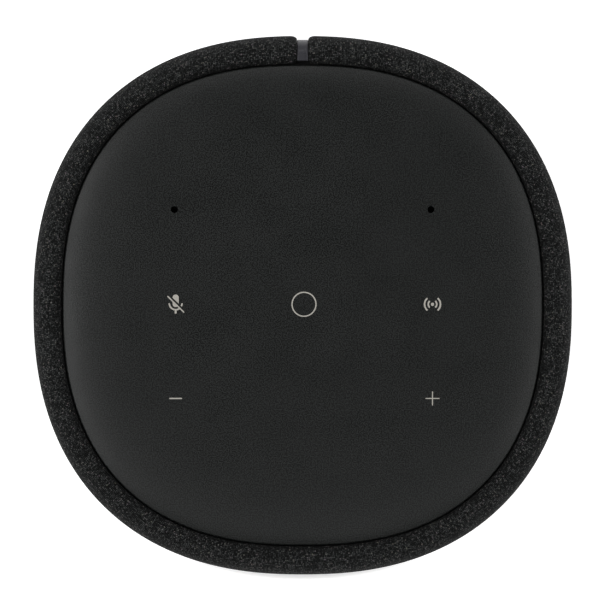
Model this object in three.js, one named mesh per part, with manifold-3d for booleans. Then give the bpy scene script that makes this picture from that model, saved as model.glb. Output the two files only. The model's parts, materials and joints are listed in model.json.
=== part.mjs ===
// Smart speaker hub: a soft-square column wrapped in cloth, with a crowned touch panel on top.
// Millimetres, +Z up, origin under the centre of the foot. -Y is the front, +Y the rear seam.
import * as THREE from "three";
import { mergeVertices } from "three/addons/utils/BufferGeometryUtils.js";
import Module from "manifold-3d";

const wasm = await Module();
wasm.setup();

// ---- driving dimensions ----
const gap = 0.3; // between pieces that touch
const height = 188;
const bodyHalf = 70; // half of the width and of the depth
const bodyExponent = 2.33; // outline at the widest: |x|^n + |y|^n = half^n
const exponentPerMm = 0.011; // smaller outlines are a little squarer
const largestExponent = 2.5;
const shellSteps = 40; // round the column
const driverSteps = 20; // round the woofer
const smallSteps = 10; // round screws, pins and posts

const foot = { inner: 45.4, outer: 55.6, high: 2.6, round: 0.6 };
const hem = { half: 65.8, z: 7.5, width: 3.2, drop: 4 }; // cloth rolls under the bottom edge
const barrel = { z: 120, span: 112, pinch: 1.0 }; // the sides bulge this much
const shoulder = { half: 64.8, z: 180.8, rise: 6.5 }; // round top edge of the cloth
const crestZ = shoulder.z + shoulder.rise;
const groove = { half: 62.2, roll: 1.8 }; // cloth side of the dark groove, and how far it rolls down
const clothEndZ = 183.4;
const cloth = 1.2;
const grilleOffset = cloth + gap; // grille surface below the cloth's outer face
const grilleWall = 2;
const seam = { width: 2.9, slit: 3.1, recess: 1.0, depth: 2.4, endHalf: 63.4 };
const channel = { width: seam.width + 2 * gap, depth: seam.depth + gap }; // for the strip, in the grille

const panel = { half: 61.85, edge: 0.5, crownDrop: 1.8, crownPower: 7, underZ: 185.3, lip: 2, lipZ: 183 };
const micHole = { x: 33, y: 24.6, radius: 0.95 };
const mic = { bootRadius: 3, portRadius: 0.6, canHalf: [2, 1.5], canThick: 1.1 };

const plate = { z: 2.9, thick: 2.7, half: 65.5, rimZ: 7, rim: 3.5 };
const topRing = { inner: 54, outer: 65.8, z: 180.7, topZ: 182.7, skirtZ: 176, skirt: 2 };
const frameLeg = { y: 20, from: 41, to: 57, half: 3.5, thick: 3, postX: 44, postRadius: 3 };
const touchBoard = { half: 58, z: 183, thick: 1.2 };

const cabinet = { half: 47.5, bottom: 14, top: 172, corner: 10, wall: 3, frontY: -49, baffle: 4, depth: 70 };
const cabinetRearY = cabinet.frontY + cabinet.baffle + gap + cabinet.depth;
const board = { y: 33.4, thick: 1.6 };
const boardFaceY = board.y + board.thick + gap;

const woofer = { z: 80, opening: 41.6, earRadius: 46.4, screwAngle: Math.PI / 4, screwHole: 1.9 };
const tweeter = { z: 148, opening: 15.5, screwRadius: 17.6, screwHole: 1.35 };
const boardScrew = { xs: [-34, 34], z: 148, bore: 1.3, hole: 1.5 };
const leadBore = { radius: 2.2, woofer: [24, 100], tweeter: [-24, 130] }; // [x, z] in the cabinet's rear wall

const rear = { half: 20, cornerRadius: 4, z: 7.6, topZ: 40, y: 67, thick: 2.6 };
const inlet = { z: 25, width: 18, height: 11, wall: 1, depth: 12, back: 2, pin: 1.2, pinX: 4.3 };
const port = { z: 13.5, width: 8, height: 3, wall: 0.4, depth: 5.5 };
const baseScrew = { x: 34, ys: [-20, 16], head: 3.2, headDeep: 1.6, shank: 1.5, top: 13, clear: 0.4 };
const light = { z: 22, x: 13, pitch: 6, pipe: 1.5, boardY: -50.4 };

// ---- finishes ----
const finish = (color, roughness, metalness = 0) =>
  new THREE.MeshStandardMaterial({ color, roughness, metalness });
const clothBlack = finish(0x2b2c2e, 0.95);
const softTouch = finish(0x252726, 0.55);
const satinPlastic = finish(0x3f3f44, 0.4);
const blackPlastic = finish(0x191a1b, 0.5);
const greyPlastic = finish(0x55585b, 0.6);
const rubber = finish(0x141414, 0.9);
const steel = finish(0xb4b6b8, 0.35, 1);
const blackSteel = finish(0x2a2a2c, 0.4, 1);
const aluminium = finish(0xc9cbce, 0.4, 1);
const brass = finish(0xc7a24a, 0.35, 1);
const copper = finish(0xb0643a, 0.4, 1);
const ferrite = finish(0x3a3a3d, 0.7);
const paper = finish(0x202022, 0.85);
const silk = finish(0x2f2f33, 0.8);
const spiderCloth = finish(0xb98a4a, 0.9);
const boardGreen = finish(0x1f5a3a, 0.5);
const clear = finish(0xe8edf0, 0.15);
const wire = finish(0x1c1c1f, 0.6);
const filmAmber = finish(0x9a5a1c, 0.4);

// ---- geometry helpers ----
function solidOf(geometry) {
  const bare = geometry.clone();
  bare.deleteAttribute("normal");
  bare.deleteAttribute("uv");
  const merged = mergeVertices(bare, 1e-4);
  const triVerts = new Uint32Array(merged.index.array);
  const vertProperties = new Float32Array(merged.attributes.position.array);
  return new wasm.Manifold(new wasm.Mesh({ numProp: 3, vertProperties, triVerts }));
}

function geometryOf(solid) {
  const mesh = solid.getMesh();
  const geometry = new THREE.BufferGeometry();
  geometry.setAttribute("position", new THREE.BufferAttribute(mesh.vertProperties, 3));
  geometry.setIndex(new THREE.BufferAttribute(mesh.triVerts, 1));
  return geometry;
}

const cut = (geometry, ...tools) =>
  geometryOf(tools.reduce((left, tool) => left.subtract(solidOf(tool)), solidOf(geometry)));
const join = (geometry, ...others) =>
  geometryOf(others.reduce((all, other) => all.add(solidOf(other)), solidOf(geometry)));

// Profile points are [radius, z], running outwards along the bottom, up, and back in.
function lathe(profile, steps) {
  const points = profile.map(([radius, z]) => new THREE.Vector2(radius, z));
  return new THREE.LatheGeometry(points, steps).rotateX(Math.PI / 2);
}

const closedLathe = (profile, steps) => lathe([...profile, profile[0]], steps);

// Distance from the centre to a soft square of half size 1, in a given direction.
function softRadius(angle, exponent) {
  const across = Math.abs(Math.cos(angle)) ** exponent;
  const along = Math.abs(Math.sin(angle)) ** exponent;
  return (across + along) ** (-1 / exponent);
}

// Turns a lathed shape into one whose every level is a soft square of the same half size.
function softSquare(geometry) {
  const position = geometry.attributes.position;
  for (let i = 0; i < position.count; i++) {
    const x = position.getX(i);
    const y = position.getY(i);
    const half = Math.hypot(x, y);
    const exponent = Math.min(bodyExponent + (bodyHalf - half) * exponentPerMm, largestExponent);
    const stretch = softRadius(Math.atan2(y, x), exponent);
    position.setXY(i, x * stretch, y * stretch);
  }
  return geometry;
}

function box(x0, x1, y0, y1, z0, z1) {
  const geometry = new THREE.BoxGeometry(x1 - x0, y1 - y0, z1 - z0);
  return geometry.translate((x0 + x1) / 2, (y0 + y1) / 2, (z0 + z1) / 2);
}

const post = (radius, x, y, z0, z1, steps = smallSteps) =>
  lathe([[0, z0], [radius, z0], [radius, z1], [0, z1]], steps).translate(x, y, 0);

function roundedRectangle(halfWidth, z0, z1, radius) {
  const shape = new THREE.Shape();
  shape.moveTo(halfWidth, z0 + radius);
  shape.absarc(halfWidth - radius, z1 - radius, radius, 0, Math.PI / 2);
  shape.absarc(-halfWidth + radius, z1 - radius, radius, Math.PI / 2, Math.PI);
  shape.absarc(-halfWidth + radius, z0 + radius, radius, Math.PI, 1.5 * Math.PI);
  shape.absarc(halfWidth - radius, z0 + radius, radius, 1.5 * Math.PI, 2 * Math.PI);
  return shape;
}

// A shape drawn on the front (x across, z up) made solid from y0 back to y1.
function slab(shape, y0, y1, curveSegments = 4) {
  const geometry = new THREE.ExtrudeGeometry(shape, { depth: y1 - y0, bevelEnabled: false, curveSegments });
  return geometry.rotateX(Math.PI / 2).translate(0, y1, 0);
}

// Round stretch of a profile, as an ellipse arc; angles in degrees.
function arc(centre, width, rise, from, to, steps) {
  const points = [];
  for (let i = 0; i <= steps; i++) {
    const angle = THREE.MathUtils.degToRad(from + ((to - from) * i) / steps);
    points.push([centre[0] + width * Math.cos(angle), centre[1] + rise * Math.sin(angle)]);
  }
  return points;
}

// A lead or ribbon: a section swept along a smooth curve through hand-placed points.
function sweep(section, points, steps) {
  const path = new THREE.CatmullRomCurve3(points.map(([x, y, z]) => new THREE.Vector3(x, y, z)));
  return new THREE.ExtrudeGeometry(section, { steps, extrudePath: path, curveSegments: 2 });
}

function roundSection(radius) {
  const shape = new THREE.Shape();
  shape.absarc(0, 0, radius, 0, 2 * Math.PI);
  return shape;
}

// Screw along +Z: the head's underside at z 0, the shank running down.
function screw(head, headHigh, shank, length) {
  const profile = [[0, -length], [shank, -length + shank], [shank, 0]];
  profile.push([head, 0], [head * 0.8, headHigh], [0, headHigh]);
  return lathe(profile, 8);
}

const hub = new THREE.Group();

function add(name, geometry, material, parent = hub) {
  const mesh = new THREE.Mesh(geometry, material);
  mesh.name = name;
  parent.add(mesh);
  return mesh;
}

// ---- the column's side, as a contour at some depth below the cloth's outer face ----
const sideHalf = (z) => bodyHalf - barrel.pinch * ((z - barrel.z) / barrel.span) ** 2;
const sideLevels = [hem.z, 45, 82, 120, 150];

const hemArc = (offset) => arc([hem.half, hem.z], hem.width - offset, hem.drop - offset, -90, -30, 2);
const sideRun = (offset, from) =>
  sideLevels.filter((z) => z >= from).map((z) => [sideHalf(z) - offset, z]);

function shoulderArc(offset, last = 90) {
  const width = sideHalf(shoulder.z) - shoulder.half - offset;
  return arc([shoulder.half, shoulder.z], width, shoulder.rise - offset, 0, last, 4);
}

// ---- base ----
function makeBase() {
  const footRing = [[foot.inner + foot.round, 0], [foot.outer - foot.round, 0], [foot.outer, foot.round]];
  footRing.push([foot.outer, foot.high], [foot.inner, foot.high], [foot.inner, foot.round]);
  add("rubber_foot", softSquare(closedLathe(footRing, shellSteps)), rubber);

  const inner = plate.half - plate.rim;
  const floorZ = plate.z + plate.thick;
  const tray = [[0, plate.z], [plate.half - 1, plate.z], [plate.half, plate.z + 0.8]];
  tray.push([plate.half, plate.rimZ], [inner, plate.rimZ], [inner, floorZ], [0, floorZ]);
  const holes = [];
  for (const y of baseScrew.ys)
    for (const x of [-baseScrew.x, baseScrew.x]) {
      holes.push(post(baseScrew.head + baseScrew.clear, x, y, 0, plate.z + baseScrew.headDeep));
      holes.push(post(baseScrew.shank + baseScrew.clear, x, y, 0, plate.rimZ));
    }
  add("base_plate", cut(softSquare(lathe(tray, shellSteps)), ...holes), blackPlastic);

  const headZ = plate.z + baseScrew.headDeep - gap;
  let number = 1;
  for (const y of baseScrew.ys)
    for (const x of [-baseScrew.x, baseScrew.x]) {
      const geometry = screw(baseScrew.head, 1.3, baseScrew.shank, baseScrew.top - headZ);
      const mesh = add(`base_screw_${number++}`, geometry, blackSteel);
      mesh.position.set(x, y, headZ);
      mesh.rotation.x = Math.PI;
    }
}

// ---- cloth, grille frame and seam strip ----
const rearWall = [40, 80]; // y range that spans the whole rear wall
const rearCutOut = () =>
  slab(roundedRectangle(rear.half + 2 * gap, -20, rear.topZ + 2 * gap, rear.cornerRadius), ...rearWall);

function makeSleeve() {
  const outer = [...hemArc(0), ...sideRun(0, 0), ...shoulderArc(0)];
  outer.push(...arc([shoulder.half, crestZ - groove.roll], shoulder.half - groove.half, groove.roll, 125, 180, 2));
  outer.push([groove.half, clothEndZ]);
  const innerTop = [groove.half + cloth, crestZ - cloth - 0.1];
  const inner = [...hemArc(cloth), ...sideRun(cloth, 0), ...shoulderArc(cloth, 70), innerTop];
  inner.push([groove.half + cloth, clothEndZ]);
  const skin = softSquare(closedLathe([...outer, ...inner.reverse()], shellSteps));
  const slit = box(-seam.slit / 2, seam.slit / 2, ...rearWall, rear.topZ - 10, height + 5);
  add("fabric_sleeve", cut(skin, slit, rearCutOut()), clothBlack);
}

function makeGrille() {
  const bottomZ = plate.rimZ + gap + 0.1;
  const lipHalf = groove.half + cloth + gap;
  const lipZ = clothEndZ + gap;
  const deep = grilleOffset + grilleWall;
  const outer = [[sideHalf(bottomZ) - grilleOffset, bottomZ], [sideHalf(barrel.z) - grilleOffset, barrel.z]];
  outer.push(...shoulderArc(grilleOffset, 70), [lipHalf, crestZ - grilleOffset - 0.1]);
  outer.push([lipHalf, lipZ], [sideHalf(shoulder.z) - deep, lipZ]);
  const inner = [[sideHalf(bottomZ) - deep, bottomZ], [sideHalf(barrel.z) - deep, barrel.z]];
  const shell = softSquare(closedLathe([...outer, ...inner.reverse()], shellSteps));
  const tools = [rearCutOut()];
  const window = { half: 14, count: 10, rows: [[48, 112], [126, 172]] };
  for (const [z0, z1] of window.rows)
    for (let i = 0; i < window.count / 2; i++) {
      const bar = box(-90, 90, -window.half, window.half, z0, z1);
      tools.push(bar.rotateZ((2 * Math.PI * i) / window.count));
    }
  tools.push(seamBand(channel.width, channel.depth, -1, rear.topZ - 2));
  tools.push(box(-light.x - 2, light.x + 2, -80, -55, light.z - 3, light.z + 3));
  add("grille_frame", cut(shell, ...tools), blackPlastic);
}

// A band that follows the rear of the column from fromZ up and over the shoulder.
function seamBand(width, deep, shallow, fromZ) {
  const level = (offset) => [
    [sideHalf(fromZ) - offset, fromZ],
    ...sideRun(offset, fromZ + 5),
    ...shoulderArc(offset, 90),
    [seam.endHalf, crestZ - offset],
  ];
  const run = [...level(shallow), ...level(deep).reverse()];
  const shape = new THREE.Shape(run.map(([y, z]) => new THREE.Vector2(y, z)));
  const geometry = new THREE.ExtrudeGeometry(shape, { depth: width, bevelEnabled: false });
  // (shape x, shape y, depth) becomes (y, z, x)
  geometry.applyMatrix4(new THREE.Matrix4().set(0, 0, 1, -width / 2, 1, 0, 0, 0, 0, 1, 0, 0, 0, 0, 0, 1));
  return geometry;
}

function makeSeam() {
  const strip = seamBand(seam.width, seam.depth, seam.recess, rear.topZ + 0.9);
  add("seam_spine", strip, satinPlastic);
}

// ---- top panel and what is under it ----
const crownZ = (half) => height - panel.crownDrop * (half / panel.half) ** panel.crownPower;

function makeTop() {
  const under = panel.half - panel.lip;
  const profile = [[0, panel.underZ], [under, panel.underZ], [under, panel.lipZ], [panel.half, panel.lipZ]];
  const edge = panel.half - panel.edge;
  profile.push([panel.half, crownZ(edge) - panel.edge]);
  for (const half of [edge, 59.5, 56, 51, 44, 32]) profile.push([half, crownZ(half)]);
  profile.push([0, height]);
  const holes = [-1, 1].map((side) => post(micHole.radius, side * micHole.x, micHole.y, 180, 190, 12));
  add("top_panel", cut(softSquare(lathe(profile, shellSteps)), ...holes), softTouch);

  const ring = [[topRing.inner, topRing.skirtZ], [topRing.inner + topRing.skirt, topRing.skirtZ]];
  ring.push([topRing.inner + topRing.skirt, topRing.z], [topRing.outer, topRing.z]);
  ring.push([topRing.outer, topRing.topZ], [topRing.inner, topRing.topZ]);
  const legs = [];
  for (const x of [-1, 1])
    for (const y of [-frameLeg.y, frameLeg.y]) {
      const ends = [x * frameLeg.from, x * frameLeg.to].sort((a, b) => a - b);
      const sides = [y - frameLeg.half, y + frameLeg.half];
      legs.push(box(...ends, ...sides, topRing.topZ - frameLeg.thick, topRing.topZ));
      legs.push(post(frameLeg.postRadius, x * frameLeg.postX, y, cabinet.top + gap, topRing.topZ - 1));
    }
  add("top_frame", join(softSquare(closedLathe(ring, shellSteps)), ...legs), blackPlastic);

  const top = touchBoard.z + touchBoard.thick;
  const flat = [[0, touchBoard.z], [touchBoard.half, touchBoard.z], [touchBoard.half, top], [0, top]];
  const ports = [-1, 1].map((side) => post(mic.portRadius, side * micHole.x, micHole.y, 180, 190));
  add("touch_board", cut(softSquare(lathe(flat, shellSteps)), ...ports), boardGreen);

  for (const [side, x] of [["left", -micHole.x], ["right", micHole.x]]) {
    const low = top + gap;
    const high = panel.underZ - gap;
    const boot = [[micHole.radius, low], [mic.bootRadius, low], [mic.bootRadius, high], [micHole.radius, high]];
    add(`mic_boot_${side}`, closedLathe(boot, smallSteps), rubber).position.set(x, micHole.y, 0);
    const can = box(-mic.canHalf[0], mic.canHalf[0], -mic.canHalf[1], mic.canHalf[1], -mic.canThick, 0);
    add(`mic_capsule_${side}`, can, steel).position.set(x, micHole.y, touchBoard.z - gap);
  }
}

// ---- speaker cabinet ----
const wooferScrews = [1, 3, 5, 7].map((k) => {
  const angle = k * woofer.screwAngle;
  return [woofer.earRadius * Math.cos(angle), woofer.earRadius * Math.sin(angle)];
});

// Pins and holes that point to the front: along Y at (x, z).
const frontPost = (radius, x, z, y0, y1, steps = smallSteps) =>
  post(radius, 0, 0, y0, y1, steps).rotateX(-Math.PI / 2).translate(x, 0, z);

function makeCabinet() {
  const { half, bottom, top, corner, wall, frontY, baffle } = cabinet;
  const outline = () => roundedRectangle(half, bottom, top, corner);
  const through = [frontY - 5, frontY + baffle + 5];
  const holes = [
    frontPost(woofer.opening, 0, woofer.z, ...through, driverSteps),
    frontPost(tweeter.opening, 0, tweeter.z, ...through, driverSteps),
  ];
  for (const [x, z] of wooferScrews)
    holes.push(frontPost(woofer.screwHole, x, woofer.z + z, ...through, 8));
  for (const side of [-1, 1])
    holes.push(frontPost(tweeter.screwHole, side * tweeter.screwRadius, tweeter.z, ...through, 8));
  add("cabinet_front", cut(slab(outline(), frontY, frontY + baffle), ...holes), greyPlastic);

  const tubFrontY = frontY + baffle + gap;
  const inside = roundedRectangle(half - wall, bottom + wall, top - wall, corner - wall);
  let tub = cut(slab(outline(), tubFrontY, cabinetRearY), slab(inside, tubFrontY - 5, cabinetRearY - wall));
  const pillars = [[-34, 68], [34, 68], [-34, 148], [34, 148], [-32, 18], [32, 18]];
  const standoffs = pillars.map(([x, z]) => frontPost(3, x, z, cabinetRearY - 1, board.y - gap, 12));
  const feet = [];
  const bores = [];
  for (const y of baseScrew.ys)
    for (const x of [-baseScrew.x, baseScrew.x]) {
      feet.push(post(4.5, x, y, plate.z + plate.thick + gap, bottom + 1));
      bores.push(post(baseScrew.shank + 0.3, x, y, 0, baseScrew.top + 0.6, 12));
    }
  for (const x of boardScrew.xs)
    bores.push(frontPost(boardScrew.bore, x, boardScrew.z, cabinetRearY + 0.5, board.y + 5, 8));
  for (const [x, z] of [leadBore.woofer, leadBore.tweeter])
    bores.push(frontPost(leadBore.radius, x, z, cabinetRearY - 6, cabinetRearY + 2, 10));
  tub = join(tub, ...standoffs, ...feet);
  add("cabinet_rear", cut(tub, ...bores), greyPlastic);
}

// ---- woofer: its own +Z points out of the cabinet, 0 at the baffle's front face ----
function makeWoofer() {
  const group = new THREE.Group();
  group.position.set(0, cabinet.frontY, woofer.z);
  group.rotation.x = Math.PI / 2;
  hub.add(group);
  const ring = (name, profile, material) => add(name, closedLathe(profile, driverSteps), material, group);

  const frame = [[17.5, -23], [26, -23], [41, -3], [41, gap], [44.5, gap], [44.5, 2.3]];
  frame.push([38.8, 2.3], [38.8, -2.5], [25, -21.2], [17.5, -21.2]);
  const ears = wooferScrews.map(([x, y]) => post(4.2, x, y, gap, 2.3));
  const cuts = wooferScrews.map(([x, y]) => post(woofer.screwHole, x, y, -1, 4, 8));
  for (const turn of [0, 1]) cuts.push(box(-50, 50, -9, 9, -18.5, -5).rotateZ((turn * Math.PI) / 2));
  const basket = join(closedLathe(frame, driverSteps), ...ears);
  add("woofer_basket", cut(basket, ...cuts), blackSteel, group);

  ring("woofer_gasket", [[39.2, 2.6], [42.9, 2.6], [42.9, 3.6], [39.2, 3.6]], rubber);
  const roll = { centre: [34.5, 0.9], radius: 3.3, thick: 0.7 };
  const under = roll.radius - roll.thick;
  const rollOut = [[31, 0.5], ...arc(roll.centre, under, under, 180, 0, 4), [38.5, 0.5], [38.5, 1.2]];
  rollOut.push(...arc(roll.centre, roll.radius, roll.radius, 5, 175, 4), [31, 1.2]);
  ring("woofer_surround", rollOut, rubber);
  ring("woofer_cone", [[13.4, -11.8], [14.2, -11.8], [30.7, -0.5], [30.7, 0.3], [13.4, -11]], paper);
  const cap = [...arc([0, -31], 26, 26, 90, 58, 4), [15, -9], ...arc([0, -31], 26.7, 26.7, 57, 90, 4)];
  add("woofer_dust_cap", lathe(cap, driverSteps), paper, group);
  const spider = [[13.5, -19.6], [15.4, -19], [17.3, -20.2], [19.2, -19], [21.1, -20.2], [23, -19], [24.8, -19.6]];
  const spiderTop = spider.map(([r, z]) => [r, z + 0.6]).reverse();
  ring("woofer_spider", [...spider, ...spiderTop], spiderCloth);
  ring("woofer_voice_coil", [[12.4, -29], [13.1, -29], [13.1, -11.5], [12.4, -11.5]], copper);
  ring("woofer_top_plate", [[13.6, -27.6], [27, -27.6], [27, -23.3], [13.6, -23.3]], steel);
  ring("woofer_magnet", [[16, -37.9], [35, -37.9], [35, -27.9], [16, -27.9]], ferrite);
  const yoke = [[0, -42.6], [32, -42.6], [33, -41.6], [33, -38.2], [11.9, -38.2], [11.9, -23.5], [0, -23.5]];
  add("woofer_yoke", lathe(yoke, driverSteps), steel, group);
  wooferScrews.forEach(([x, y], i) => {
    add(`woofer_screw_${i + 1}`, screw(2.9, 1.8, 1.6, 9), blackSteel, group).position.set(x, y, 2.6);
  });
}

// ---- tweeter, set out like the woofer ----
function makeTweeter() {
  const group = new THREE.Group();
  group.position.set(0, cabinet.frontY, tweeter.z);
  group.rotation.x = Math.PI / 2;
  hub.add(group);
  const steps = 18;
  const xs = [-tweeter.screwRadius, tweeter.screwRadius];
  const face = [[11.4, gap], [20, gap], [20, 2], [19.3, 2.6], [12.6, 2.6], [11.4, 1.6]];
  const sinks = xs.flatMap((x) => [post(2.3, x, 0, 1.5, 4, 12), post(tweeter.screwHole, x, 0, -1, 4, 8)]);
  add("tweeter_faceplate", cut(closedLathe(face, steps), ...sinks), blackPlastic, group);
  const dome = [...arc([0, -11.8], 14.8, 14.8, 90, 55, 3), [9.8, gap]];
  dome.push(...arc([0, -11.8], 15.3, 15.3, 53, 90, 3));
  add("tweeter_dome", lathe(dome, steps), silk, group);
  const edge = [[10.1, 0.3], [11.1, 0.3], [11.1, 0.7], [10.8, 1], [10.4, 1], [10.1, 0.7]];
  add("tweeter_surround", closedLathe(edge, steps), silk, group);
  const coil = [[9.4, -5], [9.9, -5], [9.9, -0.1], [9.4, -0.1]];
  add("tweeter_voice_coil", closedLathe(coil, steps), copper, group);
  add("tweeter_magnet", lathe([[0, -10.7], [9, -10.7], [9, -0.9], [0, -0.9]], steps), steel, group);
  const cup = [[0, -13], [14, -13], [14.6, -12.4], [14.6, -0.2], [10.4, -0.2], [10.4, -3]];
  cup.push([12, -3], [12, -11], [0, -11]);
  add("tweeter_cup", lathe(cup, steps), steel, group);
  xs.forEach((x, i) => {
    add(`tweeter_screw_${i + 1}`, screw(2, 1, 1.05, 6), blackSteel, group).position.set(x, 0, 1.8);
  });
}

// ---- electronics behind the cabinet ----
function makeElectronics() {
  const sheet = (z0, z1, half) => slab(roundedRectangle(half, z0, z1, 2), board.y, board.y + board.thick, 2);
  const holes = [];
  for (const x of boardScrew.xs)
    holes.push(frontPost(boardScrew.hole, x, boardScrew.z, board.y - 3, board.y + 5, 8));
  add("main_board", cut(sheet(62, 154, 40), ...holes), boardGreen);
  boardScrew.xs.forEach((x, i) => {
    const mesh = add(`main_board_screw_${i + 1}`, screw(2.6, 1.4, 1.05, 6), steel);
    mesh.position.set(x, boardFaceY, boardScrew.z);
    mesh.rotation.x = -Math.PI / 2;
  });
  add("shield_can", box(-30, 0, boardFaceY, boardFaceY + 3.5, 122, 146), steel);

  const sink = { half: 22, base: 3, reach: 14, fin: 1.6, count: 8, z0: 72, z1: 112 };
  const pitch = (2 * sink.half - sink.fin) / (sink.count - 1);
  let comb = box(-sink.half, sink.half, boardFaceY, boardFaceY + sink.base, sink.z0, sink.z1);
  for (let i = 0; i < sink.count; i++) {
    const x = -sink.half + i * pitch;
    comb = join(comb, box(x, x + sink.fin, boardFaceY, boardFaceY + sink.reach, sink.z0, sink.z1));
  }
  add("heat_sink", comb, aluminium);

  add("power_board", sheet(12, 57, 38), boardGreen);
  add("transformer", slab(roundedRectangle(13, 24, 46, 2), boardFaceY, boardFaceY + 20, 2), ferrite);
  hub.getObjectByName("transformer").position.x = 23;
  add("bulk_capacitor", frontPost(9, -25, 33, boardFaceY, boardFaceY + 20), blackPlastic);
}

// ---- rear connector panel with mains inlet and service port ----
function makeRear() {
  const pill = (width, tall, z) => roundedRectangle(width / 2, z - tall / 2, z + tall / 2, tall / 2 - 0.01);
  const front = rear.y;
  const back = rear.y - rear.thick;
  const face = slab(roundedRectangle(rear.half, rear.z, rear.topZ, rear.cornerRadius), back, front);
  const inletHole = slab(pill(inlet.width + 2 * gap, inlet.height + 2 * gap, inlet.z), back - 5, front + 5, 5);
  const portHole = slab(pill(port.width + 2 * gap, port.height + 2 * gap, port.z), back - 5, front + 5, 2);
  add("connector_panel", cut(face, inletHole, portHole), satinPlastic);

  const mouth = front - 0.2;
  const floor = mouth - inlet.depth;
  const nose = slab(pill(inlet.width, inlet.height, inlet.z), floor - inlet.back, mouth, 5);
  const flange = slab(pill(inlet.width + 6, inlet.height + 5, inlet.z), back - gap - 2, back - gap, 3);
  const well = slab(pill(inlet.width - 2 * inlet.wall, inlet.height - 2 * inlet.wall, inlet.z), floor, mouth + 5, 5);
  const sockets = [-1, 1].map((side) => frontPost(inlet.pin + gap, side * inlet.pinX, inlet.z, floor - 5, mouth));
  add("power_inlet", cut(join(nose, flange), well, ...sockets), blackPlastic);
  for (const [side, x] of [["left", -inlet.pinX], ["right", inlet.pinX]])
    add(`inlet_pin_${side}`, frontPost(inlet.pin, x, inlet.z, floor - inlet.back, mouth - 2.3), brass);

  const shell = slab(pill(port.width, port.height, port.z), mouth - port.depth, mouth, 2);
  const hollow = slab(
    pill(port.width - 2 * port.wall, port.height - 2 * port.wall, port.z),
    mouth - port.depth + 1,
    mouth + 5,
    2,
  );
  add("service_port", cut(shell, hollow), steel);
}

// ---- status lights behind the cloth, low at the front ----
function makeLights() {
  const { x, z, pitch, pipe, boardY } = light;
  add("status_led_board", box(-x - 1, x + 1, boardY, boardY + 1, z - 4, z + 4), boardGreen);
  const frontY = -66.4;
  const bar = box(-x, x, boardY - gap - 4, boardY - gap, z - 2, z + 2);
  const pipes = [-1.5, -0.5, 0.5, 1.5].map((k) => frontPost(pipe, k * pitch, z, frontY, boardY - 2, 10));
  add("status_light_guide", join(bar, ...pipes), clear);
}

// ---- leads ----
function makeLeads() {
  const twin = roundSection(1.2);
  const [wooferX, wooferZ] = leadBore.woofer;
  const toWoofer = [[wooferX, 32.8, wooferZ], [wooferX, 22, wooferZ], [39, -2, 97], [41, -20, 92], [38.5, -33, 87]];
  add("woofer_lead", sweep(twin, toWoofer, 14), wire);
  const [tweeterX, tweeterZ] = leadBore.tweeter;
  const toTweeter = [[tweeterX, 32.8, tweeterZ], [tweeterX, 20, tweeterZ + 1], [-19, -4, 140]];
  toTweeter.push([-10, -26, 147], [-8, -35, tweeter.z]);
  add("tweeter_lead", sweep(twin, toTweeter, 14), wire);
  const mains = [[0, 52.3, inlet.z], [-1, 47, 26], [-7, 40, 29], [-10, 36.2, 30]];
  add("mains_lead", sweep(roundSection(1.5), mains, 9), wire);
  const supply = [[6, 35.4, 50], [6, 40, 52], [6, 42.5, 59], [6, 40, 66], [6, 35.4, 68]];
  add("dc_lead", sweep(roundSection(1.3), supply, 12), wire);
  const ribbon = new THREE.Shape();
  ribbon.moveTo(-6, -0.25).lineTo(6, -0.25).lineTo(6, 0.25).lineTo(-6, 0.25);
  const flex = [[14, 30, 182], [14, 31, 176], [14, 38, 166], [14, 39.5, 158], [14, 36.2, 151]];
  add("touch_flex_cable", sweep(ribbon, flex, 10), filmAmber);
}

makeBase();
makeSleeve();
makeGrille();
makeSeam();
makeTop();
makeCabinet();
makeWoofer();
makeTweeter();
makeElectronics();
makeRear();
makeLights();
makeLeads();

export default hub;
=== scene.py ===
import json
import math

import bmesh
import bpy
from mathutils import Matrix, Vector
from mathutils.geometry import tessellate_polygon


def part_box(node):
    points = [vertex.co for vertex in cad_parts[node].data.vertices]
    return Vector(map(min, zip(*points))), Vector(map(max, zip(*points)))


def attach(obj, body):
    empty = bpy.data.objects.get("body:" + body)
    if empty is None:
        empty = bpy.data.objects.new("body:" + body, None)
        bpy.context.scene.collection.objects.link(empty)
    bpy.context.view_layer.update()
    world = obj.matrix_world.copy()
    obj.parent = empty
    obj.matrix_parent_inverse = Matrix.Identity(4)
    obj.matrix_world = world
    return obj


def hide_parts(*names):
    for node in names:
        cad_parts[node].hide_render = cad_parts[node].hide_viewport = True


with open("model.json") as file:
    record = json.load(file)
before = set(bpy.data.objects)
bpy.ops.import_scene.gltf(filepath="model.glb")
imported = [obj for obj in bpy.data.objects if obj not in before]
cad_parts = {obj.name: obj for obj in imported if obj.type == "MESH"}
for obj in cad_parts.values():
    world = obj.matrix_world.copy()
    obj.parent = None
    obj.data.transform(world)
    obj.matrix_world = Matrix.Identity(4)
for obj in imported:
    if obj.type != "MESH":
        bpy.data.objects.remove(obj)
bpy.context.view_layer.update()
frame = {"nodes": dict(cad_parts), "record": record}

MM = 0.001

# ---- driving sizes, in metres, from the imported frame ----
sleeve_low, sleeve_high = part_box("fabric_sleeve")
panel_low, panel_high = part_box("top_panel")
spine_low, spine_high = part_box("seam_spine")
rear_low, rear_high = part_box("connector_panel")
inlet_low, inlet_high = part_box("power_inlet")
port_low, port_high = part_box("service_port")
plate_low, plate_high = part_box("base_plate")
foot_low, foot_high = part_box("rubber_foot")

BODY_HALF = sleeve_high.x
BODY_EXPONENT = 2.33
EXPONENT_PER_M = 11.0
LARGEST_EXPONENT = 2.5
HEM_BOTTOM = sleeve_low.z
CREST = sleeve_high.z
TOP = panel_high.z

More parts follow.
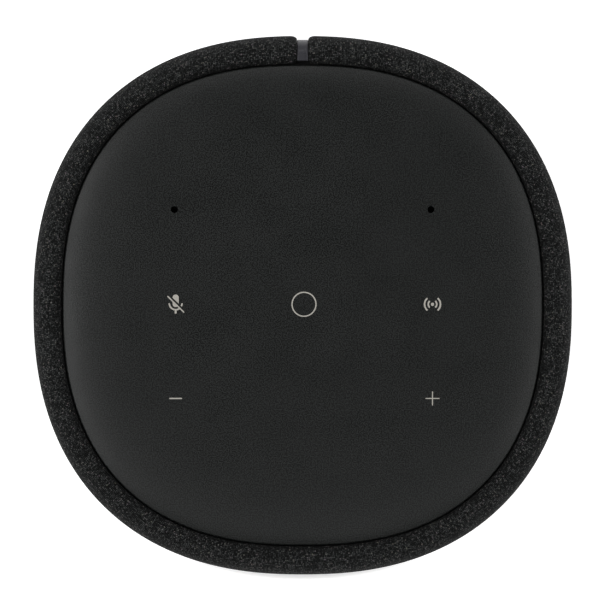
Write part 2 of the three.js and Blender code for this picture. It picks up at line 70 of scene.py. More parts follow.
HEM_HALF, HEM_Z, HEM_WIDTH = 65.8 * MM, 7.5 * MM, 3.2 * MM
PINCH, BARREL_Z, BARREL_SPAN = 1.0 * MM, 120 * MM, 112 * MM
SHOULDER_HALF, SHOULDER_Z = 64.8 * MM, 180.8 * MM
GROOVE_HALF, GROOVE_ROLL = 62.15 * MM, 2.2 * MM
CLOTH_END_Z = 183.4 * MM
CLOTH = 1.2 * MM
EDGE_ROLL, EDGE_SINK = 1.7 * MM, 0.95 * MM  # cut edges roll in this wide and this deep
SLIT_HALF = spine_high.x + 0.02 * MM
CUT_HALF, CUT_TOP, CUT_CORNER = rear_high.x + 0.6 * MM, rear_high.z + 0.6 * MM, 4 * MM

PANEL_HALF = panel_high.x
PANEL_EDGE = 0.5 * MM
CROWN_DROP, CROWN_POWER = 1.8 * MM, 7
RIM_DROP, RIM_POWER = 0.35 * MM, 24
MIC_X, MIC_Y, MIC_RADIUS = 33 * MM, 24.6 * MM, 0.9 * MM

# ---- camera: straight above, the picture's up is the rear ----
CAMERA_LENS = 250
FRAME_WIDTH = 155.35 * MM  # seen at the height of the shoulder
CAMERA_X, CAMERA_Y = -0.68 * MM, 1.33 * MM


def add_camera():
    data = bpy.data.cameras.new("camera")
    data.lens = CAMERA_LENS
    data.sensor_width = 36
    camera = bpy.data.objects.new("camera", data)
    distance = FRAME_WIDTH * data.lens / data.sensor_width
    camera.location = (CAMERA_X, CAMERA_Y, SHOULDER_Z + distance)
    bpy.context.scene.collection.objects.link(camera)
    bpy.context.scene.camera = camera


add_camera()


# ---- outline and contour formulas ----
def soft_radius(angle, exponent):
    """Distance from the centre to a soft square of half size 1."""
    across = abs(math.cos(angle)) ** exponent
    along = abs(math.sin(angle)) ** exponent
    return (across + along) ** (-1 / exponent)


def outline_exponent(half):
    return min(BODY_EXPONENT + (BODY_HALF - half) * EXPONENT_PER_M, LARGEST_EXPONENT)


def soft_point(half, angle, z):
    radius = half * soft_radius(angle, outline_exponent(half))
    return Vector((radius * math.cos(angle), radius * math.sin(angle), z))


def half_at(x, y):
    """Half size of the soft square that passes through a point."""
    half = math.hypot(x, y)
    for _ in range(4):
        exponent = outline_exponent(half)
        half = (abs(x) ** exponent + abs(y) ** exponent) ** (1 / exponent)
    return half


def side_half(z):
    return BODY_HALF - PINCH * ((z - BARREL_Z) / BARREL_SPAN) ** 2


def crown(half):
    """Height of the cover: nearly flat, with a fall that quickens towards the rim."""
    reach = half / PANEL_HALF
    return TOP - CROWN_DROP * reach ** CROWN_POWER - RIM_DROP * reach ** RIM_POWER


def arc(centre, width, rise, start, end, steps):
    """Points on an ellipse arc, angles in degrees."""
    points = []
    for i in range(steps + 1):
        angle = math.radians(start + (end - start) * i / steps)
        points.append((centre[0] + width * math.cos(angle), centre[1] + rise * math.sin(angle)))
    return points


def spread(start, end, count):
    """Evenly spaced values from start up to but not including end."""
    return [start + (end - start) * i / count for i in range(count)]


def smooth_step(value, low, high):
    t = min(max((value - low) / (high - low), 0), 1)
    return t * t * (3 - 2 * t)


def sleeve_contour():
    """Outer face of the cloth as (half, z), from the hem up and into the groove."""
    drop = HEM_Z - HEM_BOTTOM
    points = arc((HEM_HALF, HEM_Z), HEM_WIDTH, drop, -90, 0, 12)
    corner_z = CUT_TOP - CUT_CORNER
    fine = [corner_z + step * MM for step in (0, 0.12, 0.3, 0.6, 1.1, 1.9, 3.2, 5.2, 8, 11.4)]
    levels = spread(HEM_Z + 3 * MM, corner_z, 9) + fine
    levels += spread(fine[-1] + 3.5 * MM, SHOULDER_Z, 38)
    points += [(side_half(z), z) for z in levels]
    width, rise = side_half(SHOULDER_Z) - SHOULDER_HALF, CREST - SHOULDER_Z
    points += arc((SHOULDER_HALF, SHOULDER_Z), width, rise, 0, 90, 18)
    roll_width = SHOULDER_HALF - GROOVE_HALF
    roll = arc((SHOULDER_HALF, CREST - GROOVE_ROLL), roll_width, GROOVE_ROLL, 90, 180, 10)
    points += roll[1:]
    points += [(GROOVE_HALF, z) for z in (184.8 * MM, 184.1 * MM, CLOTH_END_Z)]
    return points


def along_length(contour):
    return sum(math.dist(a, b) for a, b in zip(contour, contour[1:]))


CLOTH_RUN = along_length(sleeve_contour())
GROOVE_SHADE_FROM, GROOVE_SHADE_TO = 5.2 * MM, 2.3 * MM  # before the end of the run the cloth's colour is darkened: painted shade where it rolls into the groove
GROOVE_SHADE_SHARE = 0.5


# ---- mesh helpers ----
def new_piece(name, vertices, faces, body="housing", smooth_angle=40):
    mesh = bpy.data.meshes.new(name)
    mesh.from_pydata([tuple(v) for v in vertices], [], faces)
    mesh.validate()
    piece = bpy.data.objects.new(name, mesh)
    bpy.context.scene.collection.objects.link(piece)
    face_outwards(piece)
    shade(piece, smooth_angle)
    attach(piece, body)
    return piece


def face_outwards(piece):
    work = bmesh.new()
    work.from_mesh(piece.data)
    bmesh.ops.recalc_face_normals(work, faces=work.faces)
    work.to_mesh(piece.data)
    work.free()


def shade(piece, smooth_angle):
    """Smooth shading, with edges sharper than the angle kept crisp."""
    mesh = piece.data
    mesh.shade_smooth()
    work = bmesh.new()
    work.from_mesh(mesh)
    for edge in work.edges:
        if len(edge.link_faces) == 2:
            edge.smooth = edge.calc_face_angle(0) < math.radians(smooth_angle)
    work.to_mesh(mesh)
    work.free()


def soft_loft(name, profile, columns=192, body="housing"):
    """Closed profile of (half, z) carried round the column."""
    vertices, faces = [], []
    rows = len(profile)
    for i in range(columns):
        angle = 2 * math.pi * i / columns
        vertices += [soft_point(half, angle, z) for half, z in profile]
    for i in range(columns):
        a, b = i * rows, (i + 1) % columns * rows
        for j in range(rows):
            k = (j + 1) % rows
            faces.append((a + j, b + j, b + k, a + k))
    piece = new_piece(name, vertices, faces, body)
    weld(piece)
    return piece


def weld(piece, distance=1e-6):
    work = bmesh.new()
    work.from_mesh(piece.data)
    bmesh.ops.remove_doubles(work, verts=work.verts, dist=distance)
    bmesh.ops.dissolve_degenerate(work, edges=work.edges, dist=distance)
    bmesh.ops.recalc_face_normals(work, faces=work.faces)
    work.to_mesh(piece.data)
    work.free()


def apply_modifiers(piece):
    depsgraph = bpy.context.evaluated_depsgraph_get()
    mesh = bpy.data.meshes.new_from_object(piece.evaluated_get(depsgraph))
    piece.modifiers.clear()
    piece.data = mesh


def carve(piece, *cutters):
    """Cuts pieces out of a piece and removes the cutters."""
    for cutter in cutters:
        modifier = piece.modifiers.new("cut", "BOOLEAN")
        modifier.operation = "DIFFERENCE"
        modifier.solver = "EXACT"
        modifier.object = cutter
    apply_modifiers(piece)
    for cutter in cutters:
        bpy.data.objects.remove(cutter)
    assert piece.data.polygons, f"nothing is left of {piece.name}"
    shade(piece, 40)


def bevel(piece, width, segments=3, angle=40):
    modifier = piece.modifiers.new("bevel", "BEVEL")
    modifier.width = width
    modifier.segments = segments
    modifier.limit_method = "ANGLE"
    modifier.angle_limit = math.radians(angle)
    modifier.harden_normals = False
    apply_modifiers(piece)
    shade(piece, 60)


def prism(name, outline, low, high, axis="Z", body="housing"):
    """Outline of 2-D points made solid between two levels of an axis."""
    place = {
        "Z": lambda p, level: Vector((p[0], p[1], level)),
        "Y": lambda p, level: Vector((p[0], level, p[1])),
    }[axis]
    count = len(outline)
    vertices = [place(p, level) for level in (low, high) for p in outline]
    faces = [tuple(range(count)), tuple(range(2 * count - 1, count - 1, -1))]
    for i in range(count):
        k = (i + 1) % count
        faces.append((i, k, count + k, count + i))
    return new_piece(name, vertices, faces, body)


def circle(radius, count, x=0.0, y=0.0):
    angles = [2 * math.pi * i / count for i in range(count)]
    return [(x + radius * math.cos(a), y + radius * math.sin(a)) for a in angles]


def rounded_box(half_width, low, high, radius, steps=10):
    """Outline in (x, z) with round corners, symmetric about x 0."""
    points = []
    corners = ((1, high, 0), (-1, high, 90), (-1, low, 180), (1, low, 270))
    for side, level, start in corners:
        inward = -radius if level == high else radius
        centre = (side * (half_width - radius), level + inward)
        points += arc(centre, radius, radius, start, start + 90, steps)
    return points


# ---- materials ----
class Shader:
    """A material's nodes, written as short calls."""

    def __init__(self, name, colour=(0.5, 0.5, 0.5), roughness=0.5, metallic=0.0, specular=0.5):
        self.material = bpy.data.materials.new(name)
        self.material.use_nodes = True
        self.tree = self.material.node_tree
        self.surface = self.tree.nodes["Principled BSDF"]
        self.set("Base Color", (*colour, 1))
        self.set("Roughness", roughness)
        self.set("Metallic", metallic)
        self.set("Specular IOR Level", specular)

    def set(self, socket, value):
        self.surface.inputs[socket].default_value = value

    def drive(self, socket, value):
        self.tree.links.new(value, self.surface.inputs[socket])

    def node(self, kind, inputs=(), output=0, **settings):
        made = self.tree.nodes.new(kind)
        for key, value in settings.items():
            setattr(made, key, value)
        for key, value in dict(inputs).items():
            if isinstance(value, bpy.types.NodeSocket):
                self.tree.links.new(value, made.inputs[key])
            else:
                made.inputs[key].default_value = value
        return made.outputs[output]

    def math(self, operation, a, b=0.0, c=0.0):
        return self.node("ShaderNodeMath", {0: a, 1: b, 2: c}, operation=operation)

    def place(self):
        return self.node("ShaderNodeTexCoord", output="Object")

    def noise(self, vector, per_metre, detail=2.0, roughness=0.5):
        inputs = {"Vector": vector, "Scale": per_metre, "Detail": detail, "Roughness": roughness}
        return self.node("ShaderNodeTexNoise", inputs)

    def remap(self, value, low, high, to_low, to_high):
        inputs = {"Value": value, 1: low, 2: high, 3: to_low, 4: to_high}
        return self.node("ShaderNodeMapRange", inputs)

    def blend(self, factor, a, b):
        inputs = {0: factor, 6: a, 7: b}
        return self.node("ShaderNodeMix", inputs, output=2, data_type="RGBA")

    def bump(self, height, depth):
        normal = self.node("ShaderNodeBump", {"Height": height, "Distance": depth, "Strength": 1.0})
        self.drive("Normal", normal)


def moulded(name, colour, roughness, grain_mm=0.25, depth_mm=0.006, spread_of_tone=0.12, specular=0.5):
    """Moulded or lacquered plastic and rubber: fine grain, slightly uneven tone and gloss."""
    shader = Shader(name, colour, roughness, specular=specular)
    place = shader.place()
    grain = shader.noise(place, 1 / (grain_mm * MM), 3, 0.6)
    cloud = shader.noise(place, 90, 3, 0.5)
    tone = shader.math("MULTIPLY_ADD", cloud, 0.15, shader.math("MULTIPLY", grain, 0.85))
    dark = tuple(c * (1 - spread_of_tone) for c in colour) + (1,)
    light = tuple(c * (1 + spread_of_tone) for c in colour) + (1,)
    shader.drive("Base Color", shader.blend(shader.remap(tone, 0.35, 0.65, 0, 1), dark, light))
    shader.drive("Roughness", shader.remap(grain, 0.3, 0.7, roughness - 0.05, roughness + 0.05))
    shader.bump(grain, depth_mm * MM)
    return shader.material


def soft_coated(name, colour, roughness, specular, grain_mm, spread):
    """Soft-touch paint over a fine grain with rough crests: the light they catch is painted in as lighter colour, the
    hollows painted darker as shade.
    """
    shader = Shader(name, colour, roughness, specular=specular)
    place = shader.place()
    inputs = {"Vector": place, "Scale": 1 / (grain_mm * MM), "Detail": 1.0}
    grain = shader.node("ShaderNodeTexNoise", inputs, noise_dimensions="2D")
    crest_and_painted_highlight = shader.remap(grain, 0.46, 0.54, 0, 1)
    dark = tuple(c * (1 - spread) for c in colour) + (1,)
    light = tuple(c * (1 + spread) for c in colour) + (1,)
    # painted highlight and painted shade: the crests get the light colour and the hollows the dark one
    shader.drive("Base Color", shader.blend(crest_and_painted_highlight, dark, light))
    wear = shader.remap(shader.noise(place, 90, 3, 0.5), 0.3, 0.7, -0.03, 0.03)
    rough = shader.remap(crest_and_painted_highlight, 0, 1, roughness - 0.04, roughness + 0.04)
    shader.drive("Roughness", shader.math("ADD", rough, wear))
    shader.bump(grain, 0.03 * MM)
    return shader.material


def metal(name, colour, roughness, streak=(1, 1, 1), depth_mm=0.004, metallic=1.0):
    """Metal with streaks stretched along one direction."""
    shader = Shader(name, colour, roughness, metallic)
    stretched = shader.node("ShaderNodeMapping", {"Vector": shader.place(), "Scale": streak})
    streaks = shader.noise(stretched, 900, 4, 0.6)
    stain = shader.noise(shader.place(), 70, 3, 0.6)
    dark = tuple(c * 0.82 for c in colour) + (1,)
    shader.drive("Base Color", shader.blend(shader.remap(stain, 0.35, 0.7, 0, 1), dark, (*colour, 1)))
    shader.drive("Roughness", shader.remap(streaks, 0.3, 0.7, roughness - 0.08, roughness + 0.1))
    shader.bump(streaks, depth_mm * MM)
    return shader.material


def woven(name, yarn, fleck, pitch_mm, depth_mm, fleck_share, roughness=0.9, contrast=1.0, uv=None, painted_groove_shade=None):
    """Plain weave: uneven yarns with dark gaps between them painted in as shade, mixed fibres and light flecks."""
    shader = Shader(name, yarn, roughness, specular=0.12)
    if uv:
        place = shader.node("ShaderNodeUVMap", output="UV", uv_map=uv)
    else:
        place = shader.place()
    wander = shader.node("ShaderNodeTexNoise", {"Vector": place, "Scale": 650, "Detail": 3.0}, output=1)
    shift = shader.node("ShaderNodeVectorMath", {0: wander, 1: (0.5, 0.5, 0.5)}, operation="SUBTRACT")
    shift = shader.node("ShaderNodeVectorMath", {0: shift, 3: 2.2 * pitch_mm * MM}, operation="SCALE")
    bent = shader.node("ShaderNodeVectorMath", {0: place, 1: shift}, operation="ADD")
    cells = shader.node("ShaderNodeVectorMath", {0: bent, 3: 1 / (pitch_mm * MM)}, operation="SCALE")
    split = shader.tree.nodes.new("ShaderNodeSeparateXYZ")
    shader.tree.links.new(cells, split.inputs[0])
    across, along = split.outputs[0], split.outputs[1]
    column, row = shader.math("FLOOR", across), shader.math("FLOOR", along)
    over = shader.math("PINGPONG", shader.math("ADD", column, row), 1.0)
    hump_x = shader.math("SINE", shader.math("MULTIPLY", shader.math("FRACT", across), math.pi))
    hump_y = shader.math("SINE", shader.math("MULTIPLY", shader.math("FRACT", along), math.pi))
    warp = shader.math("MULTIPLY", hump_x, shader.math("POWER", hump_y, 0.4))
    weft = shader.math("MULTIPLY", hump_y, shader.math("POWER", hump_x, 0.4))
    yarns = shader.node("ShaderNodeMix", {0: over, 2: warp, 3: weft}, data_type="FLOAT")
    cell = shader.node("ShaderNodeCombineXYZ", {0: column, 1: row, 2: over})
    dice = shader.node("ShaderNodeTexWhiteNoise", {"Vector": cell}, noise_dimensions="3D")
    tint = shader.node("ShaderNodeTexWhiteNoise", {"Vector": cell}, output=1, noise_dimensions="3D")
    fibres = shader.noise(place, 4300, 3, 0.7)
    light_fibre = shader.remap(fibres, 0.35, 0.65, 0.15, 1.85)
    uneven = shader.math("MULTIPLY_ADD", shader.math("POWER", dice, 2.0), 2.1 * contrast, 1 - 0.7 * contrast)
    # painted shade: each yarn is darkened towards its edges, down to a small fraction in the gaps between yarns
    shaded = shader.math("MULTIPLY", shader.remap(yarns, 0.15, 0.95, 0.12, 1.5), uneven)
    amount = shader.math("MULTIPLY", shaded, light_fibre)
    # painted shade: the cloth is darkened towards the end of its run, where it rolls into the groove beside the cover
    if painted_groove_shade:
        along_metres = shader.node("ShaderNodeSeparateXYZ", {0: place}, output=1)
        amount = shader.math("MULTIPLY", amount, shader.remap(along_metres, *painted_groove_shade, 1.0, GROOVE_SHADE_SHARE))
    base = shader.node("ShaderNodeVectorMath", {0: yarn, 3: amount}, operation="SCALE")
    is_fleck = shader.math("MULTIPLY", shader.remap(dice, 1 - fleck_share, 1, 0, 1), yarns)
    is_fleck = shader.math("MULTIPLY", is_fleck, shader.remap(fibres, 0.4, 0.6, 0, 1))
    tinted = shader.node("ShaderNodeMix", {0: 0.3, 6: (1, 1, 1, 1), 7: tint}, output=2, data_type="RGBA")
    light = shader.node("ShaderNodeVectorMath", {0: tinted, 1: fleck}, operation="MULTIPLY")
    colour = shader.node("ShaderNodeMix", {0: is_fleck, 6: base, 7: light}, output=2, data_type="RGBA")
    shader.drive("Base Color", colour)
    height = shader.math("MULTIPLY_ADD", fibres, 0.5, yarns)
    shader.bump(height, depth_mm * MM)
    return shader.material


def make_materials():
    made = {
        "cloth": woven(
            "cloth",
            (0.0218, 0.0229, 0.0227),
            (0.155, 0.158, 0.152),
            0.43,
            0.1,
            0.12,
            uv="weave",
            painted_groove_shade=(CLOTH_RUN - GROOVE_SHADE_FROM, CLOTH_RUN - GROOVE_SHADE_TO),
        ),
        "soft_touch": soft_coated("soft_touch", (0.0066, 0.0077, 0.0072), 0.4, 0.29, 0.31, 0.96),
        "satin_plastic": moulded("satin_plastic", (0.030, 0.030, 0.036), 0.42, 0.2, 0.003, 0.2, 0.35),
        "black_plastic": moulded("black_plastic", (0.008, 0.008, 0.0085), 0.6, 0.3, 0.012, 0.15, 0.3),
        "grey_plastic": moulded("grey_plastic", (0.09, 0.095, 0.10), 0.55, 0.4, 0.012),
        "rubber": moulded("rubber", (0.009, 0.009, 0.009), 0.75, 0.5, 0.02),
        "steel": metal("steel", (0.50, 0.51, 0.52), 0.32, (1, 12, 1)),
        "black_steel": metal("black_steel", (0.02, 0.02, 0.022), 0.4, (1, 1, 1), 0.006, 0.3),
        "aluminium": metal("aluminium", (0.62, 0.63, 0.65), 0.35, (14, 14, 1)),
        "brass": metal("brass", (0.66, 0.50, 0.20), 0.22, (1, 8, 1), 0.001),
        "copper": metal("copper", (0.62, 0.24, 0.10), 0.3, (1, 60, 1), 0.02),
        "ferrite": moulded("ferrite", (0.045, 0.045, 0.05), 0.62, 0.5, 0.03, 0.2),
        "paper": moulded("paper", (0.016, 0.016, 0.018), 0.8, 0.9, 0.05, 0.35),
        "silk": woven("silk", (0.03, 0.03, 0.034), (0.1, 0.1, 0.11), 0.25, 0.03, 0.1, 0.6, 0.3),
        "spider_cloth": woven("spider_cloth", (0.42, 0.24, 0.08), (0.6, 0.4, 0.2), 0.7, 0.15, 0.2, 0.8, 0.3),
        "circuit_board": moulded("circuit_board", (0.012, 0.085, 0.04), 0.35, 1.6, 0.01, 0.25),
        "clear": clear_plastic(),
        "wire": moulded("wire", (0.014, 0.014, 0.016), 0.5, 0.4, 0.008),
        "film": moulded("film", (0.33, 0.12, 0.02), 0.3, 0.8, 0.002),
    }
    return made


def clear_plastic():
    shader = Shader("clear", (0.9, 0.92, 0.94), 0.12)
    shader.set("Transmission Weight", 0.85)
    shader.set("IOR", 1.49)
    haze = shader.noise(shader.place(), 600, 2)
    shader.drive("Roughness", shader.remap(haze, 0.3, 0.7, 0.08, 0.2))
    return shader.material


MATERIALS = make_materials()
INK = moulded("ink", (0.43, 0.412, 0.37), 0.65, 0.25, 0.003, 0.12, 0.3)
GAUZE = woven("gauze", (0.012, 0.012, 0.012), (0.02, 0.02, 0.02), 0.09, 0.01, 0.1)


def dress(piece, slot):
    piece.data.materials.clear()
    piece.data.materials.append(MATERIALS[slot])


def stand_for(piece, slot, *nodes):
    dress(piece, slot)
    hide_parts(*nodes)


# ---- the cloth sleeve: one sheet from slit edge to slit edge ----
SHARE_FROM, SHARE_TO = 22 * MM, 45 * MM  # columns keep their x up to here, then fan out


def contour_normals(points):
    normals = []
    for i in range(len(points)):
        a, b = points[max(i - 1, 0)], points[min(i + 1, len(points) - 1)]
        along = Vector((b[0] - a[0], b[1] - a[1])).normalized()
        normals.append((along.y, -along.x))
    return normals


def sleeve_columns():
    """Columns from the slit's right edge round the front to its left edge, as (side, x) or angles."""
    near = [0, 0.04, 0.12, 0.25, 0.45, 0.75, 1.15, 1.7, 2.8, 4.8, 6.8, 8.8, 10.8, 12.8]
    xs = [SLIT_HALF + step * MM for step in near]
    corner = CUT_HALF - CUT_CORNER
    xs += [corner + CUT_CORNER * math.sin(math.radians(a)) for a in (0, 15, 30, 45, 58, 70, 80, 90)]
    xs += [CUT_HALF + step * MM for step in (0.15, 0.35, 0.65, 1.2, 2.2, 3.6)]
    xs += spread(xs[-1] + 2 * MM, SHARE_TO, 9) + [SHARE_TO]
    y = (BODY_HALF ** BODY_EXPONENT - SHARE_TO ** BODY_EXPONENT) ** (1 / BODY_EXPONENT)
    start = math.atan2(y, SHARE_TO)
    sweep = math.pi + 2 * start
    count = 150
    angles = [start - sweep * (i + 1) / (count + 1) for i in range(count)]
    right = [("x", x) for x in xs]
    front = [("angle", a) for a in angles]
    return right + front + [("x", -x) for x in reversed(xs)]


def sleeve_point(kind, value, half, z):
    if kind == "angle":
        return soft_point(half, value, z)
    exponent = outline_exponent(half)
    fan = smooth_step(abs(value), SHARE_FROM, SHARE_TO)
    x = value * (1 - fan + fan * half / BODY_HALF)
    y = (half ** exponent - abs(x) ** exponent) ** (1 / exponent)
    return Vector((x, y, z))


def cut_level(x):
    """Height of the cut-out's upper edge at a distance from the rear centre line."""
    past = abs(x) - (CUT_HALF - CUT_CORNER)
    if past <= 0:
        return CUT_TOP
    return CUT_TOP - CUT_CORNER + math.sqrt(max(CUT_CORNER ** 2 - past ** 2, 0))


def edge_roll(distance):
    """How far the face of the cloth drops where it rolls in at a cut edge."""
    inside = max(1 - max(distance, 0) / EDGE_ROLL, 0)
    return EDGE_SINK * (1 - math.sqrt(1 - inside ** 2))


def build_sleeve():
    contour = sleeve_contour()
    normals = contour_normals(contour)
    columns = sleeve_columns()
    first = next(j for j, (_, z) in enumerate(contour) if z >= CUT_TOP - CUT_CORNER - 1e-9)
    blend_z = CUT_TOP - CUT_CORNER + 11.4 * MM
    rows = len(contour)
    vertices = []
    for kind, value in columns:
        in_flap = kind == "x" and abs(value) < CUT_HALF - 1e-9
        for j, ((half, z), (normal_half, normal_z)) in enumerate(zip(contour, normals)):
            distance = 1.0
            if in_flap and first <= j and z <= blend_z:
                low = cut_level(value)
                share = (z - contour[first][1]) / (blend_z - contour[first][1])
                z = low + share * (blend_z - low)
                half = side_half(z)
            if kind == "x" and j >= first:
                distance = abs(value) - SLIT_HALF
                if abs(value) < CUT_HALF + 1 * MM:
                    distance = min(distance, z - cut_level(min(abs(value), CUT_HALF)))
            elif kind == "x":
                distance = abs(value) - CUT_HALF
            sink = edge_roll(distance)
            point = sleeve_point(kind, value, half - sink * normal_half, z - sink * normal_z)
            vertices.append(point)
    faces = []
    for i in range(len(columns) - 1):
        flap = any(k == "x" and abs(v) < CUT_HALF - 1e-9 for k, v in (columns[i], columns[i + 1]))
        for j in range(first if flap else 0, rows - 1):
            a, b = i * rows + j, (i + 1) * rows + j
            faces.append((a, b, b + 1, a + 1))
    mesh = bpy.data.meshes.new("cloth_sleeve")
    mesh.from_pydata([tuple(v) for v in vertices], [], faces)
    add_weave_map(mesh, columns, contour)
    sleeve = bpy.data.objects.new("cloth_sleeve", mesh)
    bpy.context.scene.collection.objects.link(sleeve)
    drop_loose(sleeve)
    face_away_from_axis(sleeve)
    solid = sleeve.modifiers.new("thickness", "SOLIDIFY")
    solid.thickness = CLOTH
    solid.offset = -1
    solid.use_even_offset = False
    apply_modifiers(sleeve)
    sleeve.data.shade_smooth()
    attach(sleeve, "housing")
    stand_for(sleeve, "cloth", "fabric_sleeve")
    girth = around_length(columns)
    run = along_length(contour)
    return girth, run


def around_length(columns):
    points = [sleeve_point(kind, value, BODY_HALF, 0) for kind, value in columns]
    return sum((b - a).length for a, b in zip(points, points[1:]))


def add_weave_map(mesh, columns, contour):
    """Distances along the cloth, in metres, so that the weave keeps its size everywhere."""
    points = [sleeve_point(kind, value, BODY_HALF, 0) for kind, value in columns]
    around = [0.0]
    for a, b in zip(points, points[1:]):
        around.append(around[-1] + (b - a).length)
    along = [0.0]
    for a, b in zip(contour, contour[1:]):
        along.append(along[-1] + math.dist(a, b))
    layer = mesh.uv_layers.new(name="weave")
    rows = len(contour)
    for loop in mesh.loops:
        column, row = divmod(loop.vertex_index, rows)
        layer.data[loop.index].uv = (around[column], along[row])


def drop_loose(piece):
    work = bmesh.new()
    work.from_mesh(piece.data)
    loose = [v for v in work.verts if not v.link_faces]
    bmesh.ops.delete(work, geom=loose, context="VERTS")
    work.to_mesh(piece.data)
    work.free()


def face_away_from_axis(piece):
    work = bmesh.new()
    work.from_mesh(piece.data)
    bmesh.ops.recalc_face_normals(work, faces=work.faces)
    work.faces.ensure_lookup_table()
    side = next(f for f in work.faces if abs(f.normal.z) < 0.2)
    outward = Vector((side.calc_center_median().x, side.calc_center_median().y, 0))
    if side.normal.dot(outward) < 0:
        bmesh.ops.reverse_faces(work, faces=work.faces)
    work.to_mesh(piece.data)
    work.free()


# ---- top cover and its printed marks ----
def build_top_cover():
    halves = spread(1.5 * MM, 45 * MM, 22) + spread(45 * MM, 58 * MM, 13) + spread(58 * MM, 60.6 * MM, 7)
    edge_half = PANEL_HALF - PANEL_EDGE
    profile = [(half, crown(half)) for half in halves]
    rim = arc((edge_half, crown(edge_half) - PANEL_EDGE), PANEL_EDGE, PANEL_EDGE, 74, 0, 8)
    profile += rim
    lip, lip_z, under_z = 2 * MM, panel_low.z, 185.3 * MM
    profile += [(PANEL_HALF, 184.6 * MM), (PANEL_HALF, lip_z), (PANEL_HALF - lip, lip_z)]
    profile += [(PANEL_HALF - lip, under_z), (30 * MM, under_z), (1.5 * MM, under_z)]
    columns = 224
    vertices, faces = [], []
    rows = len(profile)
    for i in range(columns):
        angle = 2 * math.pi * i / columns
        vertices += [soft_point(half, angle, z) for half, z in profile]
    for i in range(columns):
        a, b = i * rows, (i + 1) % columns * rows
        faces += [(a + j, a + j + 1, b + j + 1, b + j) for j in range(rows - 1)]
    faces.append(tuple(i * rows for i in range(columns)))
    faces.append(tuple(i * rows + rows - 1 for i in reversed(range(columns))))
    cover = new_piece("top_cover", vertices, faces)
    cutters = []
    for side in (-1, 1):
        hole = circle(MIC_RADIUS, 40, side * MIC_X, MIC_Y)
        cutters.append(prism("cutter", hole, under_z - 3 * MM, TOP + 3 * MM))
        build_gauze("left" if side < 0 else "right", side * MIC_X)
    carve(cover, *cutters)
    stand_for(cover, "soft_touch", "top_panel")


def build_gauze(side, x):
    """Black acoustic gauze inside a microphone's rubber boot."""
    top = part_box(f"mic_boot_{side}")[1].z
    gauze = prism(f"mic_gauze_{side}", circle(0.9 * MM, 32, x, MIC_Y), top - 0.1 * MM, top)
    gauze.data.materials.append(GAUZE)


INK_THICK = 0.03 * MM


def mark(name, outlines):
    """Printed mark: flat outlines in (x, y), laid on the crowned cover and ink-thin."""
    vertices, faces = [], []
    for outline in outlines:
        start, count = len(vertices), len(outline)
        for lift in (-0.5 * INK_THICK, INK_THICK):
            vertices += [Vector((x, y, crown(half_at(x, y)) + lift)) for x, y in outline]
        flat = [Vector((x, y, 0)) for x, y in outline]
        for a, b, c in tessellate_polygon([flat]):
            faces.append((start + a, start + b, start + c))
            faces.append((start + count + a, start + count + c, start + count + b))
        for i in range(count):
            k = (i + 1) % count
            faces.append((start + i, start + k, start + count + k, start + count + i))
    piece = new_piece(name, vertices, faces)
    piece.data.materials.append(INK)
    return piece


def bar(x, y, half_length, half_width, turn=0.0):
    """Straight stroke with round ends."""
    points = arc((half_length, 0), half_width, half_width, -90, 90, 8)
    points += arc((-half_length, 0), half_width, half_width, 90, 270, 8)
    c, s = math.cos(math.radians(turn)), math.sin(math.radians(turn))
    return [(x + px * c - py * s, y + px * s + py * c) for px, py in points]


def ring_outline(x, y, radius, line, start, end, steps=48):
    """Round stroke between two angles, as one outline."""
    outer = arc((x, y), radius, radius, start, end, steps)
    inner = arc((x, y), radius - line, radius - line, end, start, steps)
    return outer + inner


def stroke_ring(x, y, radius, line):
    return [
        ring_outline(x, y, radius, line, 0, 180),
        ring_outline(x, y, radius, line, 180, 360),
    ]


MARK_LEFT_X, MARK_CENTRE_X, MARK_RIGHT_X = -32.66 * MM, 0.35 * MM, 33.4 * MM
MARK_LOW_Y, MARK_MID_Y = -23.99 * MM, 0.23 * MM
LINE, FINE_LINE = 0.32 * MM, 0.255 * MM


def build_marks():
    mark("mark_ring", stroke_ring(MARK_CENTRE_X, MARK_MID_Y, 3.24 * MM, LINE))
    mark("mark_minus", [bar(MARK_LEFT_X, MARK_LOW_Y, 1.5 * MM, LINE / 2)])
    half, reach = FINE_LINE / 2, 1.8 * MM
    plus = []
    for turn in (0, 90, 180, 270):
        c, s = round(math.cos(math.radians(turn))), round(math.sin(math.radians(turn)))
        for px, py in ((reach, -half), (reach, half), (half, half)):
            plus.append((MARK_RIGHT_X + px * c - py * s, MARK_LOW_Y + px * s + py * c))
    mark("mark_plus", [plus])
    build_microphone_mark(MARK_LEFT_X, MARK_MID_Y)
    build_pairing_mark(MARK_RIGHT_X, MARK_MID_Y)


def build_microphone_mark(x, y):
    """Capsule, cup, stem and a slash across them, with a clear gap on the slash's upper side."""
    radius, cup_radius = 0.8 * MM, 1.84 * MM
    low = y + 0.1 * MM
    capsule = arc((x, y + 1.72 * MM), radius, radius, 0, 180, 16)
    capsule += arc((x, low), radius, radius, 180, 360, 16)
    cup = ring_outline(x, low + 0.15 * MM, cup_radius, 0.40 * MM, 180, 360, 40)
    foot = low - cup_radius + 0.4 * MM
    stem_half, stem_end = 0.24 * MM, low - 2.5 * MM
    stem = [(x - stem_half, foot), (x + stem_half, foot), (x + stem_half, stem_end), (x - stem_half, stem_end)]
    turn = -44.5
    slash = bar(x + 0.03 * MM, y, 2.85 * MM, 0.17 * MM, turn)
    for name, outline in (("capsule", capsule), ("cup", cup), ("stem", stem)):
        shape = mark(f"mark_microphone_{name}", [outline])
        gap = prism("cutter", bar(x + 0.22 * MM, y + 0.2 * MM, 4 * MM, 0.36 * MM, turn), 0.1, 0.3)
        carve(shape, gap)
    mark("mark_microphone_slash", [slash])


